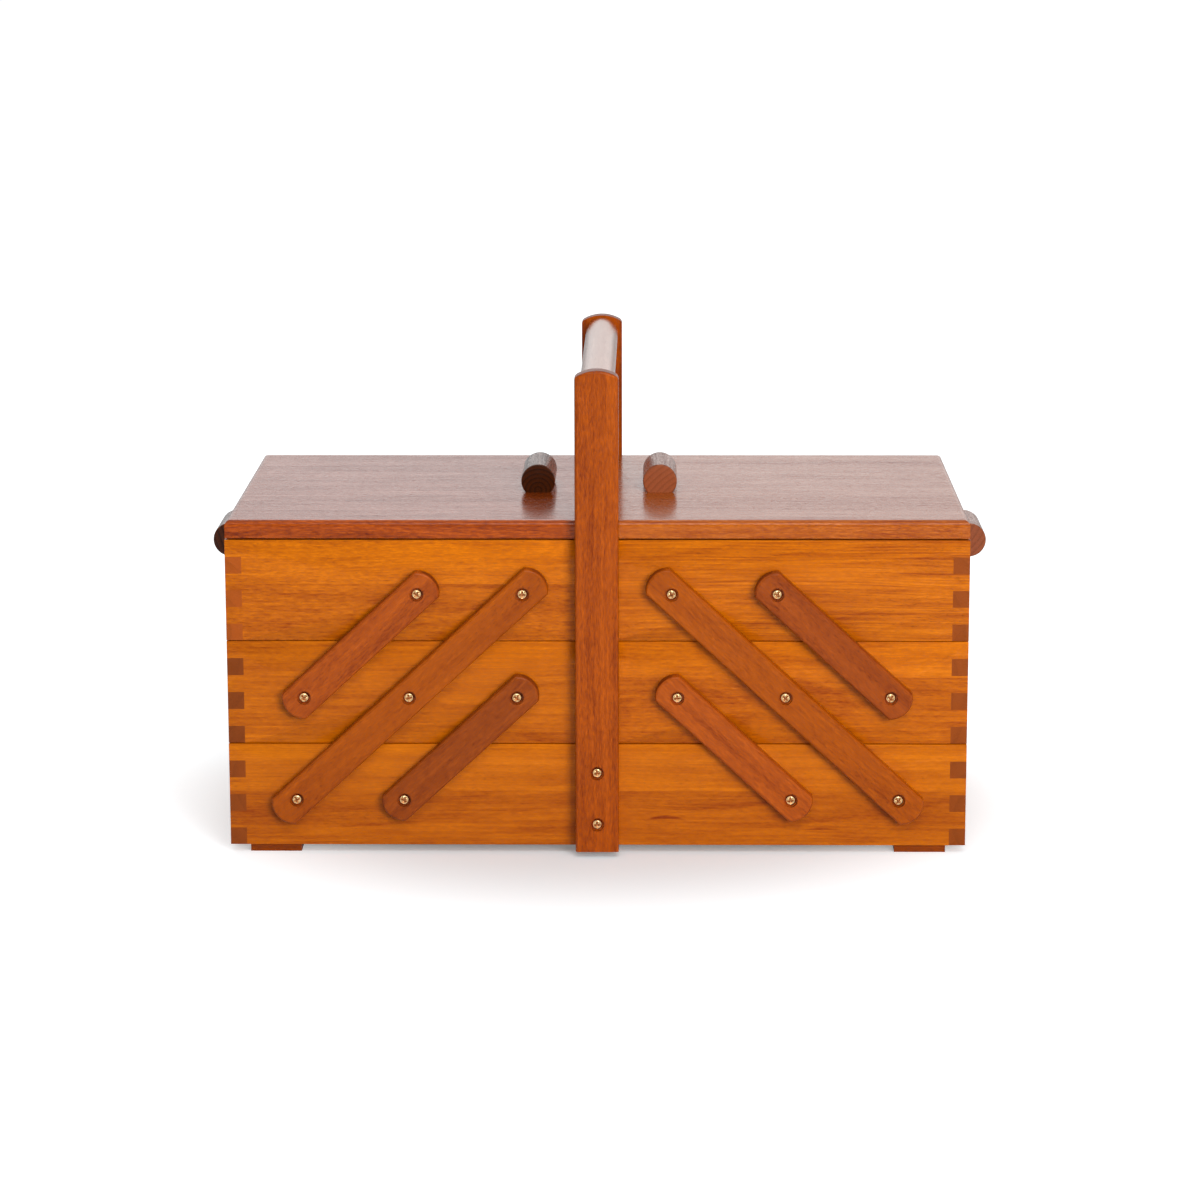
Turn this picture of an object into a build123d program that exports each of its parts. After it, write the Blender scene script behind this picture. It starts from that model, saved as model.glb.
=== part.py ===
from build123d import *
from dataclasses import dataclass
from math import atan2, cos, hypot, sin, sqrt
import os

# Wooden sewing box. A wide base tray stands on four feet and carries the handle. On each
# side a middle tray and a top tray ride on three pairs of parallel arms, so that they swing
# out level, and each top tray has a lid hinged at its outer end.
# Millimetres. +Z is up, the front is on the -Y side, and the origin is on the floor below
# the middle of the box. Pieces that come in pairs are built on the right (+X) or at the
# front and mirrored.

# Trays
box_width = 360.0
box_depth = 190.0
tray_height = 50.8
top_tray_height = 49.6
board_thickness = 8.0
tray_gap = 0.4
middle_gap = 0.6
post_clearance = 0.5
finger_count = 6

# Bottom panels and dividers
panel_thickness = 3.0
panel_lift = 4.0
groove_depth = 4.0
groove_clearance = 0.1
divider_thickness = 4.0
divider_drop = 6.0
dado_depth = 2.0
dado_clearance = 0.1

# Feet
foot_size = 25.0
foot_height = 4.2
foot_inset_x = 9.5
foot_inset_y = 3.0

# Arms, with their pivots measured from the middle of the closed box
arm_width = 16.9
arm_thickness = 6.2
arm_gap = 0.3
arm_end_radius = 10.8
arm_corner_radius = 1.0
arm_edge_radius = 1.5
long_arm_overhang = 13.0
short_arm_overhang = 10.8
long_arm_x = 146.6
lower_arm_x = 94.2
upper_arm_x = 142.25
pivot_reach = 55.3
pivot_lift = 24.2

# Screws
screw_radius = 1.75
screw_tip_cover = 0.6
head_radius = 2.75
head_height = 1.9
counterbore_radius = 3.4
counterbore_depth = 1.5
head_clearance = 0.1
pivot_clearance = 0.1
open_pivot_clearance = 0.25

# Handle
post_width = 21.1
post_thickness = 9.0
post_bottom = 3.0
post_top = 240.0
post_crown = 3.2
post_corner_radius = 2.5
post_edge_radius = 1.5
post_screw_heights = (16.8, 42.6)
rod_radius = 8.4
rod_drop = 9.6
tenon_radius = 5.0
tenon_length = 5.0
tenon_clearance = 0.1
tenon_end_gap = 0.5

# Lids
lid_thickness = 8.8
lid_gap = 0.9
lid_end_inset = 0.2
lid_edge_radius = 3.0
lid_inner_radius = 0.8

# Half-round knobs on the lids and pulls on the top trays
grip_radius = 8.5
grip_height = 14.2
grip_length = 38.0
grip_edge_radius = 0.8
knob_x = 30.5
pull_drop = 14.5

# Lid hinges
hinge_spacing = 100.0
hinge_length = 25.0
leaf_width = 6.5
leaf_thickness = 0.7
leaf_gap = 0.1
knuckle_radius = 1.2
knuckle_clearance = 0.1
knuckle_end_gap = 0.2
hinge_pin_radius = 0.6
hinge_pin_clearance = 0.1

# Places that several pieces share
half_width = box_width / 2
half_depth = box_depth / 2
tier_pitch = tray_height + tray_gap
tray_face = half_depth - post_clearance
arm_back = half_depth + arm_gap
arm_face = arm_back + arm_thickness
post_face = half_depth + post_thickness
arm_angle = atan2(tier_pitch, pivot_reach)
arm_step = hypot(tier_pitch, pivot_reach)
rod_z = post_top - rod_drop
screw_grip = board_thickness - dado_depth - screw_tip_cover


@dataclass
class Tray:
    """The outer bounds of one tray's four boards."""

    x_low: float
    x_high: float
    face: float
    z_low: float
    height: float

    @property
    def rim(self):
        """Height of the tray's upper edge."""
        return self.z_low + self.height

    @property
    def pivot_z(self):
        """Height of the pivots of the arms on this tray."""
        return self.z_low + pivot_lift

    def segment(self, index):
        """Lower and upper height of one finger joint segment, counted from the rim."""
        pitch = self.height / finger_count
        return self.rim - (index + 1) * pitch, self.rim - index * pitch


base_tray = Tray(-half_width, half_width, half_depth, foot_height, tray_height)
middle_tray = Tray(middle_gap / 2, half_width, tray_face, foot_height + tier_pitch, tray_height)
top_tray = Tray(middle_gap / 2, half_width, tray_face, foot_height + 2 * tier_pitch, top_tray_height)

base_pivots = (long_arm_x, lower_arm_x)
middle_pivots = (upper_arm_x, long_arm_x - pivot_reach, lower_arm_x - pivot_reach)
top_pivots = (upper_arm_x - pivot_reach, long_arm_x - 2 * pivot_reach)

seam_z = top_tray.rim + lid_gap / 2
lid_bottom = top_tray.rim + lid_gap
lid_top = lid_bottom + lid_thickness
hinge_x = half_width + knuckle_clearance + knuckle_radius


def block(low, high):
    """A rectangular solid between two opposite corners."""
    size = [b - a for a, b in zip(low, high)]
    centre = [(a + b) / 2 for a, b in zip(low, high)]
    return Pos(*centre) * Box(*size)


def rod_along_y(radius, y_low, y_high, x, z):
    """A cylinder whose axis runs along Y."""
    centre = Pos(x, (y_low + y_high) / 2, z)
    return centre * Rot(90, 0, 0) * Cylinder(radius, y_high - y_low)


def to_back(piece):
    """The copy of a front piece on the back."""
    return mirror(piece, Plane.XZ)


def to_left(piece):
    """The copy of a right-hand piece on the left."""
    return mirror(piece, Plane.YZ)


def panel_room(tray):
    """The space that a bottom panel and its grooves take up, out to the groove floors."""
    inset = board_thickness - groove_depth
    low = (tray.x_low + inset, -tray.face + inset, tray.z_low + panel_lift - groove_clearance)
    top = tray.z_low + panel_lift + panel_thickness + groove_clearance
    return block(low, (tray.x_high - inset, tray.face - inset, top))


def bottom_panel(tray):
    """Plywood bottom, clear of its grooves all round."""
    inset = board_thickness - groove_depth + groove_clearance
    low = (tray.x_low + inset, -tray.face + inset, tray.z_low + panel_lift)
    high = (tray.x_high - inset, tray.face - inset, tray.z_low + panel_lift + panel_thickness)
    return block(low, high)


def divider_block(tray, clearance):
    """The divider's outline between its dado floors, grown or shrunk by a clearance."""
    x_middle = (tray.x_low + tray.x_high) / 2
    half = divider_thickness / 2 + clearance
    end = tray.face - board_thickness + dado_depth + clearance
    floor = tray.z_low + panel_lift + panel_thickness
    top = tray.rim - divider_drop
    return block((x_middle - half, -end, floor), (x_middle + half, end, top + clearance))


def front_board(tray, pivots=(), divided=False):
    """Front board with notches for the end boards' fingers, grooved for the panel."""
    inner = -tray.face + board_thickness
    board = block((tray.x_low, -tray.face, tray.z_low), (tray.x_high, inner, tray.rim))
    for x in (tray.x_low, tray.x_high - board_thickness):
        for index in range(1, finger_count, 2):
            low, high = tray.segment(index)
            board -= block((x, -tray.face, low), (x + board_thickness, inner, high))
    board -= panel_room(tray)
    if divided:
        board -= divider_block(tray, dado_clearance)
    for x in pivots:
        board -= rod_along_y(screw_radius, -tray.face, -tray.face + screw_grip, x, tray.pivot_z)
    return board


def end_board(tray, x_outer, inward):
    """End board whose fingers fill the notches of the front and back boards."""
    x_low, x_high = sorted((x_outer, x_outer + inward * board_thickness))
    board = block((x_low, -tray.face, tray.z_low), (x_high, tray.face, tray.rim))
    for y in (-tray.face, tray.face - board_thickness):
        for index in range(0, finger_count, 2):
            low, high = tray.segment(index)
            board -= block((x_low, y, low), (x_high, y + board_thickness, high))
    return board - panel_room(tray)


def screw(x, z, tray_surface, head_seat):
    """Round-head screw in the front, from inside the board out to its domed head."""
    dome_radius = (head_radius**2 + head_height**2) / (2 * head_height)
    shoulder = (head_radius, 0)
    mid_angle = atan2(head_radius, dome_radius - head_height) / 2
    crest = head_height - dome_radius + dome_radius * cos(mid_angle)
    middle = (dome_radius * sin(mid_angle), crest)
    outline = Line((0, 0), shoulder) + ThreePointArc(shoulder, middle, (0, head_height))
    outline += Line((0, head_height), (0, 0))
    head = revolve(Plane.XZ * make_face(outline), Axis.Z)
    outward = Plane(origin=(x, -head_seat, z), x_dir=(1, 0, 0), z_dir=(0, -1, 0))
    shank = rod_along_y(screw_radius, -head_seat, -tray_surface + screw_grip, x, z)
    return outward.location * head + shank


def pivot_screws(tray, pivots):
    """The screws that the arms turn on, front and back, on one side of a tray."""
    head_seat = arm_face - counterbore_depth + head_clearance
    front = [screw(x, tray.pivot_z, tray.face, head_seat) for x in pivots]
    return front + [to_back(one) for one in front]


def arm(pivot_x, pivot_z, steps, overhang, open_steps=()):
    """Front arm on the right: a flat bar with domed ends and a counterbored hole per pivot.

    The bar is drawn along X from its lowest pivot, outer face up, then set on the front.
    """
    half = arm_width / 2
    dome = arm_end_radius - sqrt(arm_end_radius**2 - half**2)
    start = -overhang
    end = steps * arm_step + overhang
    outline = Line((start + dome, half), (end - dome, half))
    outline += ThreePointArc((end - dome, half), (end, 0), (end - dome, -half))
    outline += Line((end - dome, -half), (start + dome, -half))
    outline += ThreePointArc((start + dome, -half), (start, 0), (start + dome, half))
    bar = extrude(make_face(outline), arm_thickness)
    bar = fillet(bar.edges().filter_by(Axis.Z), arm_corner_radius)
    bar = fillet(bar.faces().sort_by(Axis.Z)[-1].edges(), arm_edge_radius)
    for step in range(steps + 1):
        clearance = open_pivot_clearance if step in open_steps else pivot_clearance
        centre = Pos(step * arm_step, 0, 0)
        bottom = (Align.CENTER, Align.CENTER, Align.MIN)
        bar -= centre * Cylinder(screw_radius + clearance, arm_thickness, align=bottom)
        sink = Pos(0, 0, arm_thickness - counterbore_depth)
        bar -= centre * sink * Cylinder(counterbore_radius, counterbore_depth, align=bottom)
    inward_up = (-cos(arm_angle), 0, sin(arm_angle))
    outward = Plane(origin=(pivot_x, -arm_back, pivot_z), x_dir=inward_up, z_dir=(0, -1, 0))
    return outward.location * bar


def handle_post():
    """Front post with a crowned top, a blind socket for the rod's tenon and counterbored holes."""
    half = post_width / 2
    shoulder = post_top - post_crown
    outline = Line((-half, post_bottom), (half, post_bottom))
    outline += Line((half, post_bottom), (half, shoulder))
    outline += ThreePointArc((half, shoulder), (0, post_top), (-half, shoulder))
    outline += Line((-half, shoulder), (-half, post_bottom))
    outward = Plane(origin=(0, -half_depth, 0), x_dir=(1, 0, 0), z_dir=(0, -1, 0))
    post = extrude(outward * make_face(outline), post_thickness)
    corners = post.edges().filter_by(Axis.Y).group_by(Axis.Z)[-1]
    post = fillet(corners, post_corner_radius)
    rounded = post.faces().sort_by(Axis.Y)[0].edges().sort_by(Axis.Z)[1:]
    post = fillet(rounded, post_edge_radius)
    socket_floor = -half_depth - tenon_length - tenon_end_gap
    post -= rod_along_y(tenon_radius + tenon_clearance, socket_floor, -half_depth, 0, rod_z)
    for z in post_screw_heights:
        post -= rod_along_y(screw_radius, -post_face, -half_depth, 0, z)
        seat = -post_face + counterbore_depth
        post -= rod_along_y(counterbore_radius, -post_face, seat, 0, z)
    return post


def grip_rod():
    """Round rod between the posts, with a tenon at each end."""
    tenon_end = half_depth + tenon_length
    rod = rod_along_y(rod_radius, -half_depth, half_depth, 0, rod_z)
    return rod + rod_along_y(tenon_radius, -tenon_end, tenon_end, 0, rod_z)


def grip(length):
    """Half-round grip lying along Y on its flat, crown up."""
    section = Pos(0, grip_height - grip_radius) * Circle(grip_radius)
    above = Rectangle(2 * grip_radius, grip_height, align=(Align.CENTER, Align.MIN))
    solid = extrude(Plane.XZ * (section & above), length / 2, both=True)
    ends = solid.faces().sort_by(Axis.Y)
    rims = ends[0].edges().filter_by(GeomType.CIRCLE) + ends[-1].edges().filter_by(GeomType.CIRCLE)
    return fillet(rims, grip_edge_radius)


def hinge_centres():
    """Places of the two hinges along Y."""
    return (-hinge_spacing / 2, hinge_spacing / 2)


def leaf_span(moving):
    """Lower and upper height of a leaf: the fixed one is below the seam."""
    if moving:
        return seam_z + leaf_gap / 2, seam_z + leaf_gap / 2 + leaf_thickness
    return seam_z - leaf_gap / 2 - leaf_thickness, seam_z - leaf_gap / 2


def knuckle_spans(y, moving):
    """The lengths of barrel that belong to one leaf: the middle one moves."""
    third = hinge_length / 6
    gap = knuckle_end_gap / 2
    if moving:
        return [(y - third + gap, y + third - gap)]
    end = hinge_length / 2
    return [(y - end, y - third - gap), (y + third + gap, y + end)]


def hinge_leaf(y, moving):
    """One leaf with its share of the barrel, bored for the pin."""
    low, high = leaf_span(moving)
    inner = half_width - leaf_width
    edge = hinge_x - knuckle_radius - knuckle_end_gap
    leaf = block((inner, y - hinge_length / 2, low), (edge, y + hinge_length / 2, high))
    bore = hinge_pin_radius + (hinge_pin_clearance if moving else 0)
    for start, end in knuckle_spans(y, moving):
        leaf += block((edge, start, low), (hinge_x, end, high))
        leaf += rod_along_y(knuckle_radius, start, end, hinge_x, seam_z)
        leaf -= rod_along_y(bore, start, end, hinge_x, seam_z)
    return leaf


def leaf_recess(y, moving):
    """The shallow seat for a leaf in the end board or in the lid."""
    low, high = leaf_span(moving)
    half = hinge_length / 2
    return block((half_width - leaf_width, y - half, low), (hinge_x, y + half, high))


def lid():
    """Right-hand lid: rounded along its top edges, with a seat below for each hinge leaf."""
    outer = half_width - lid_end_inset
    board = block((top_tray.x_low, -tray_face, lid_bottom), (outer, tray_face, lid_top))
    rim = board.faces().sort_by(Axis.Z)[-1].edges().sort_by(Axis.X)
    board = fillet(rim[1:], lid_edge_radius)
    inner_edge = board.faces().sort_by(Axis.Z)[-1].edges().sort_by(Axis.X)[:1]
    board = fillet(inner_edge, lid_inner_radius)
    for y in hinge_centres():
        board -= leaf_recess(y, moving=True)
    return board


def add_tray(pieces, name, tray, pivots):
    """The boards, panel, divider and screws of a half tray on the right."""
    outer = end_board(tray, tray.x_high, -1)
    if tray is top_tray:
        for y in hinge_centres():
            outer -= leaf_recess(y, moving=False)
    front = front_board(tray, pivots, divided=True)
    pieces[name + "_front_board"] = front
    pieces[name + "_back_board"] = to_back(front)
    pieces[name + "_outer_end"] = outer
    pieces[name + "_inner_end"] = end_board(tray, tray.x_low, 1)
    pieces[name + "_bottom_panel"] = bottom_panel(tray)
    pieces[name + "_divider"] = divider_block(tray, 0)
    pieces[name + "_pivot_screws"] = Compound(pivot_screws(tray, pivots))


def right_side():
    """Every piece of the right half that swings out, by its name without the side."""
    pieces = {}
    base_z = base_tray.pivot_z
    arms = {
        "long_arm": arm(long_arm_x, base_z, 2, long_arm_overhang),
        "lower_arm": arm(lower_arm_x, base_z, 1, short_arm_overhang, open_steps=(1,)),
        "upper_arm": arm(upper_arm_x, middle_tray.pivot_z, 1, short_arm_overhang, open_steps=(1,)),
    }
    for name, front in arms.items():
        pieces[name + "_front"] = front
        pieces[name + "_back"] = to_back(front)
    add_tray(pieces, "middle", middle_tray, middle_pivots)
    add_tray(pieces, "top", top_tray, top_pivots)
    pull_place = Pos(half_width, 0, top_tray.rim - pull_drop) * Rot(0, 90, 0)
    pieces["side_pull"] = pull_place * grip(grip_length)
    pieces["lid"] = lid()
    pieces["lid_knob"] = Pos(knob_x, 0, lid_top) * grip(grip_length)
    fixed = []
    moving = []
    pin_end = hinge_length / 2
    for y in hinge_centres():
        fixed.append(hinge_leaf(y, moving=False))
        fixed.append(rod_along_y(hinge_pin_radius, y - pin_end, y + pin_end, hinge_x, seam_z))
        moving.append(hinge_leaf(y, moving=True))
    pieces["lid_hinges_fixed"] = Compound(fixed)
    pieces["lid_hinges_moving"] = Compound(moving)
    return pieces


def feet():
    """Square blocks under the four corners of the base."""
    x_outer = half_width - foot_inset_x
    y_outer = half_depth - foot_inset_y
    corner = block((x_outer - foot_size, -y_outer, 0), (x_outer, -y_outer + foot_size, foot_height))
    front = [corner, to_left(corner)]
    return Compound(front + [to_back(one) for one in front])


def base_and_handle():
    """Every piece that stays still, by its name."""
    front = front_board(base_tray, base_pivots + tuple(-x for x in base_pivots))
    for z in post_screw_heights:
        front -= rod_along_y(screw_radius, -half_depth, -half_depth + screw_grip, 0, z)
    right = end_board(base_tray, base_tray.x_high, -1)
    post = handle_post()
    post_screws = [screw(0, z, half_depth, post_face - counterbore_depth) for z in post_screw_heights]
    arm_screws = pivot_screws(base_tray, base_pivots)
    arm_screws += [to_left(one) for one in arm_screws]
    return {
        "base_front_board": front,
        "base_back_board": to_back(front),
        "base_left_end": to_left(right),
        "base_right_end": right,
        "base_bottom_panel": bottom_panel(base_tray),
        "feet": feet(),
        "handle_front_post": post,
        "handle_back_post": to_back(post),
        "handle_grip_rod": grip_rod(),
        "base_screws": Compound(arm_screws + post_screws + [to_back(one) for one in post_screws]),
    }


os.makedirs("parts", exist_ok=True)
nodes = base_and_handle()
for piece_name, piece in right_side().items():
    nodes["right_" + piece_name] = piece
    nodes["left_" + piece_name] = to_left(piece)
for node_name, node in nodes.items():
    export_step(node, f"parts/{node_name}.step")
print(len(nodes), "nodes written")
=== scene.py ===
"""Looks of a wooden sewing box: varnished boards, crossed arms, brass screws and a plain studio."""
import logging
import math
import random
from dataclasses import dataclass, field
from enum import Enum
from typing import Any, Sequence, Union

import bmesh
import bpy
from mathutils import Matrix, Vector


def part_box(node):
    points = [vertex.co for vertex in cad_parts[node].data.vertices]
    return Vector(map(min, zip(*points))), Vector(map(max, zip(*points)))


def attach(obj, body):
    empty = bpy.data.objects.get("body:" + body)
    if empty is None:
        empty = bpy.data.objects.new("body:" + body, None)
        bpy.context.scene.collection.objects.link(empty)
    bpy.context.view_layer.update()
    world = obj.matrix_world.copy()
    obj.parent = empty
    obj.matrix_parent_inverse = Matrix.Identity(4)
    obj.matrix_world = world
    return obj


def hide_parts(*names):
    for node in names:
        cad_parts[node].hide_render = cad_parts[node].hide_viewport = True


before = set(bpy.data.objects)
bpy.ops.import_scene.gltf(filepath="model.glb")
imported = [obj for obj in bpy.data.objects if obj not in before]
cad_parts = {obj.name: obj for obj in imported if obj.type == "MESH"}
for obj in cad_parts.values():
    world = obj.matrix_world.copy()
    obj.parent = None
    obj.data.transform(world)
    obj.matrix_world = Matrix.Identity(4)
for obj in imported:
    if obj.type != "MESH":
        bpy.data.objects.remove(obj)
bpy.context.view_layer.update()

LOG = logging.getLogger("sewing_box")
MM = 0.001  # A millimetre, in metres.
MIDDLE = 0.5  # The middle of a noise, and of the step between a wood's two colours.
Colour = tuple[float, float, float]
Point = tuple[float, float, float]
Pair = tuple[float, float]
Span = tuple[float, ...]
WHITE: Colour = (1.0, 1.0, 1.0)


def srgb(red: int, green: int, blue: int) -> Colour:
    """Turns a colour as a screen shows it into the linear values that shaders take.

    Args:
        red: 0 to 255.
        green: 0 to 255.
        blue: 0 to 255.

    Returns:
        The three linear values.
    """
    def linear(channel: int) -> float:
        """One channel in linear light."""
        c = channel / 255
        return c / 12.92 if c <= 0.04045 else ((c + 0.055) / 1.055) ** 2.4

    return linear(red), linear(green), linear(blue)


class Wire:
    """An output socket that takes part in sums: Math nodes for numbers, Vector Math for the rest."""

    def __init__(self, graph: "Graph", output: bpy.types.NodeSocket) -> None:
        """Wraps a socket.

        Args:
            graph: The node tree that the socket is in.
            output: The socket.
        """
        self.graph = graph
        self.output = output

    def _sum(self, operation: str, first: Any, second: Any = None) -> "Wire":
        """Adds the node for one operation, with a vector's own nodes where self is one.

        Args:
            operation: The operation's name on the node.
            first: The left value or wire.
            second: The right value or wire, if the operation takes two.

        Returns:
            The result.
        """
        values = [first] if second is None else [first, second]
        if self.output.type not in ("VECTOR", "RGBA"):
            return self.graph.add("ShaderNodeMath", {"operation": operation}, values)
        if operation == "MULTIPLY" and not is_vector(second):
            scaled = {0: first, "Scale": second}
            return self.graph.add("ShaderNodeVectorMath", {"operation": "SCALE"}, scaled)
        return self.graph.add("ShaderNodeVectorMath", {"operation": operation}, values)

    def __add__(self, other: Any) -> "Wire":
        """self + other."""
        return self._sum("ADD", self, other)

    __radd__ = __add__

    def __sub__(self, other: Any) -> "Wire":
        """self - other."""
        return self._sum("SUBTRACT", self, other)

    def __rsub__(self, other: Any) -> "Wire":
        """other - self."""
        return self._sum("SUBTRACT", other, self)

    def __mul__(self, other: Any) -> "Wire":
        """self * other."""
        return self._sum("MULTIPLY", self, other)

    __rmul__ = __mul__

    def __truediv__(self, other: Any) -> "Wire":
        """self / other."""
        return self._sum("DIVIDE", self, other)

    def __pow__(self, other: Any) -> "Wire":
        """self ** other."""
        return self._sum("POWER", self, other)

    def __abs__(self) -> "Wire":
        """The size of self without its sign."""
        return self._sum("ABSOLUTE", self)

    def fraction(self) -> "Wire":
        """The part of self after the decimal point."""
        return self._sum("FRACT", self)

    def from_middle(self) -> "Wire":
        """How far a value between 0 and 1 is from the middle of that span."""
        return self - MIDDLE

    def above(self, limit: float) -> "Wire":
        """1 where self is more than the limit, otherwise 0."""
        return self._sum("GREATER_THAN", self, limit)

    def parts(self) -> tuple["Wire", "Wire", "Wire"]:
        """The three numbers of a vector."""
        split = self.graph.add("ShaderNodeSeparateXYZ", {}, [self]).output.node
        x, y, z = (Wire(self.graph, output) for output in split.outputs)
        return x, y, z

    def ramp(self, low: float, high: float, bottom: float = 0.0, top: float = 1.0) -> "Wire":
        """Smoothly maps the span from low to high onto bottom to top, and holds it outside.

        Args:
            low: Where the rise starts.
            high: Where the rise ends.
            bottom: Value up to low.
            top: Value from high.

        Returns:
            The mapped value.
        """
        settings = {"interpolation_type": "SMOOTHSTEP"}
        return self.graph.add("ShaderNodeMapRange", settings, [self, low, high, bottom, top])


def is_vector(value: Any) -> bool:
    """Says whether a value stands for three numbers.

    Args:
        value: A wire, a number or a row of numbers.

    Returns:
        True for a wire of vectors or colours and for a row of numbers.
    """
    if isinstance(value, Wire):
        return value.output.type in ("VECTOR", "RGBA")
    return isinstance(value, (tuple, list, Vector))


Values = Union[Sequence[Any], dict[Any, Any]]


@dataclass(frozen=True)
class Noise:
    """How fast a noise changes, how many finer layers it has and how strong they are."""

    scale: Any
    detail: float = 1.0
    roughness: float = 0.5


class Graph:
    """A node tree, and the one method that adds a node to it."""

    def __init__(self, tree: bpy.types.NodeTree) -> None:
        """Empties a node tree.

        Args:
            tree: The tree of a material, of the world or of a modifier.
        """
        self.tree = tree
        tree.nodes.clear()

    def add(
        self, kind: str, settings: dict[str, Any] | None = None, values: Values = (), output: Any = 0
    ) -> Wire:
        """Adds a node.

        Args:
            kind: The node's type.
            settings: Its own settings, set before its sockets.
            values: Values or wires for its inputs, by place or by name.
            output: Which output to return, by place or by name.

        Returns:
            The chosen output, or the first input of a node without outputs.
        """
        node = self.tree.nodes.new(kind)
        for name, value in (settings or {}).items():
            setattr(node, name, value)
        pairs = values.items() if isinstance(values, dict) else enumerate(values)
        for place, value in pairs:
            socket = node.inputs[place]
            if isinstance(value, Wire):
                self.tree.links.new(value.output, socket)
            elif socket.type == "RGBA" and len(value) == 3:
                socket.default_value = (*value, 1.0)
            else:
                socket.default_value = value
        return Wire(self, node.outputs[output]) if node.outputs else Wire(self, node.inputs[0])

    def mix(self, factor: Any, first: Any, second: Any, beyond: bool = False) -> Wire:
        """Mixes two colours.

        Args:
            factor: How much of the second one.
            first: A colour or a wire.
            second: A colour or a wire.
            beyond: Lets a factor under 0 or over 1 go past the two colours.

        Returns:
            The mixed colour.
        """
        settings = {"data_type": "RGBA", "clamp_factor": not beyond}
        return self.add("ShaderNodeMix", settings, {0: factor, 6: first, 7: second}, 2)

    def noise(self, place: Wire, kind: Noise) -> Wire:
        """Soft noise from 0 to 1.

        Args:
            place: Where in space.
            kind: What it is like.

        Returns:
            The noise.
        """
        values = {
            "Vector": place * kind.scale, "Scale": 1.0,
            "Detail": kind.detail, "Roughness": kind.roughness,
        }
        return self.add("ShaderNodeTexNoise", {}, values)

    def vector(self, x: Any, y: Any, z: Any) -> Wire:
        """A vector from three numbers or wires."""
        return self.add("ShaderNodeCombineXYZ", {}, [x, y, z])

    def length(self, vector: Wire) -> Wire:
        """The length of a vector."""
        return self.add("ShaderNodeVectorMath", {"operation": "LENGTH"}, [vector], "Value")

    def dot(self, first: Any, second: Any) -> Wire:
        """The dot product of two vectors."""
        return self.add("ShaderNodeVectorMath", {"operation": "DOT_PRODUCT"}, [first, second], "Value")


def new_material(name: str) -> tuple[bpy.types.Material, Graph]:
    """Starts a material.

    Args:
        name: Its name.

    Returns:
        The material and its graph, without nodes.
    """
    made = bpy.data.materials.new(name)
    made.use_nodes = True
    return made, Graph(made.node_tree)


def new_object(name: str, data: bpy.types.ID) -> bpy.types.Object:
    """Puts an object into the scene.

    Args:
        name: Its name.
        data: Its mesh, lamp or camera.

    Returns:
        The object.
    """
    made = bpy.data.objects.new(name, data)
    bpy.context.scene.collection.objects.link(made)
    return made


class Grain(Enum):
    """Which way the wood's fibres run, as the turn that lays them along X."""

    ALONG_X = (0.0, 0.0, 0.0)
    ALONG_Y = (0.0, 0.0, -90.0)
    ALONG_Z = (0.0, 90.0, 0.0)
    LEFT_ARM = (0.0, 42.8, 0.0)
    RIGHT_ARM = (0.0, -42.8, 0.0)

    def turn(self) -> Point:
        """The turn in radians, for a Mapping node."""
        return tuple(math.radians(angle) for angle in self.value)

    def matrix(self) -> Matrix:
        """The turn as a matrix."""
        _, about_y, about_z = self.turn()
        return Matrix.Rotation(about_z, 3, "Z") @ Matrix.Rotation(about_y, 3, "Y")

    def direction(self) -> Point:
        """The fibres' direction on the box."""
        return tuple(self.matrix().inverted() @ Vector((1, 0, 0)))


@dataclass(frozen=True)
class Figure:
    """The numbers behind the figure of every wood, in millimetres.

    Each noise changes so much per millimetre along the fibres and across them. A span says where
    a smooth step starts and ends, and then its values there where they aren't 0 and 1.
    """

    sway_noise: Noise = Noise((0.007, 0.03, 0.03))
    band: Noise = Noise((0.0045, 0.085, 0.085), 3.0, 0.55)
    mottle: Noise = Noise((0.05, 0.14, 0.14))
    streak: Noise = Noise((0.016, 0.5, 0.5), 3.0, 0.6)
    line: Noise = Noise((0.02, 1.25, 1.25))
    fibre: Noise = Noise((0.3, 1.7, 1.7), 2.0)
    pore: Noise = Noise((0.5, 2.2, 2.2))
    vessel: Noise = Noise((0.8, 2.6, 2.6))
    late_wood_span: Span = (0.9, 1.0, 1.0, 0.0)
    pore_span: Span = (0.58, 0.74)
    pore_band_span: Span = (0.38, 0.6, 0.3, 1.0)
    ring_band_span: Span = (0.4, 0.6, 0.4, 1.0)
    vessel_span: Span = (0.5, 0.75)
    end_grain_span: Span = (0.75, 0.9)
    mark_span: Span = (0.1, 1.0)
    mark_power: float = 1.5
    start_range: Pair = (100, 900)
    heart_side_range: Pair = (18, 45)
    heart_height_range: Pair = (-25, 25)
    taper_range: Pair = (-0.16, 0.16)
    strip_shift: Point = (311.0, 57.0, 23.0)
    strip_seam: float = 0.08
    sway: float = 7.0
    free_drift: float = 8.0
    set_drift: float = 1.5
    late_wood_power: float = 3.0
    mean_late_wood: float = 0.2
    fibre_gain: float = 1.4
    fibre_loss_to_lines: float = 0.5
    pore_darkness: float = 0.42
    pore_roughness: float = 0.1
    end_tone: float = 1.06
    end_vessel_depth: float = 0.16
    end_fibre_depth: float = 0.2
    end_roughness: float = 0.08
    sheen_from_fibre: float = 0.6
    sheen_from_tone: float = 0.4
    relief_depth: float = 0.3
    relief_height: float = 0.7
    full_coat: float = 0.85
    pore_coat_loss: float = 0.4


FIGURE = Figure()


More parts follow.
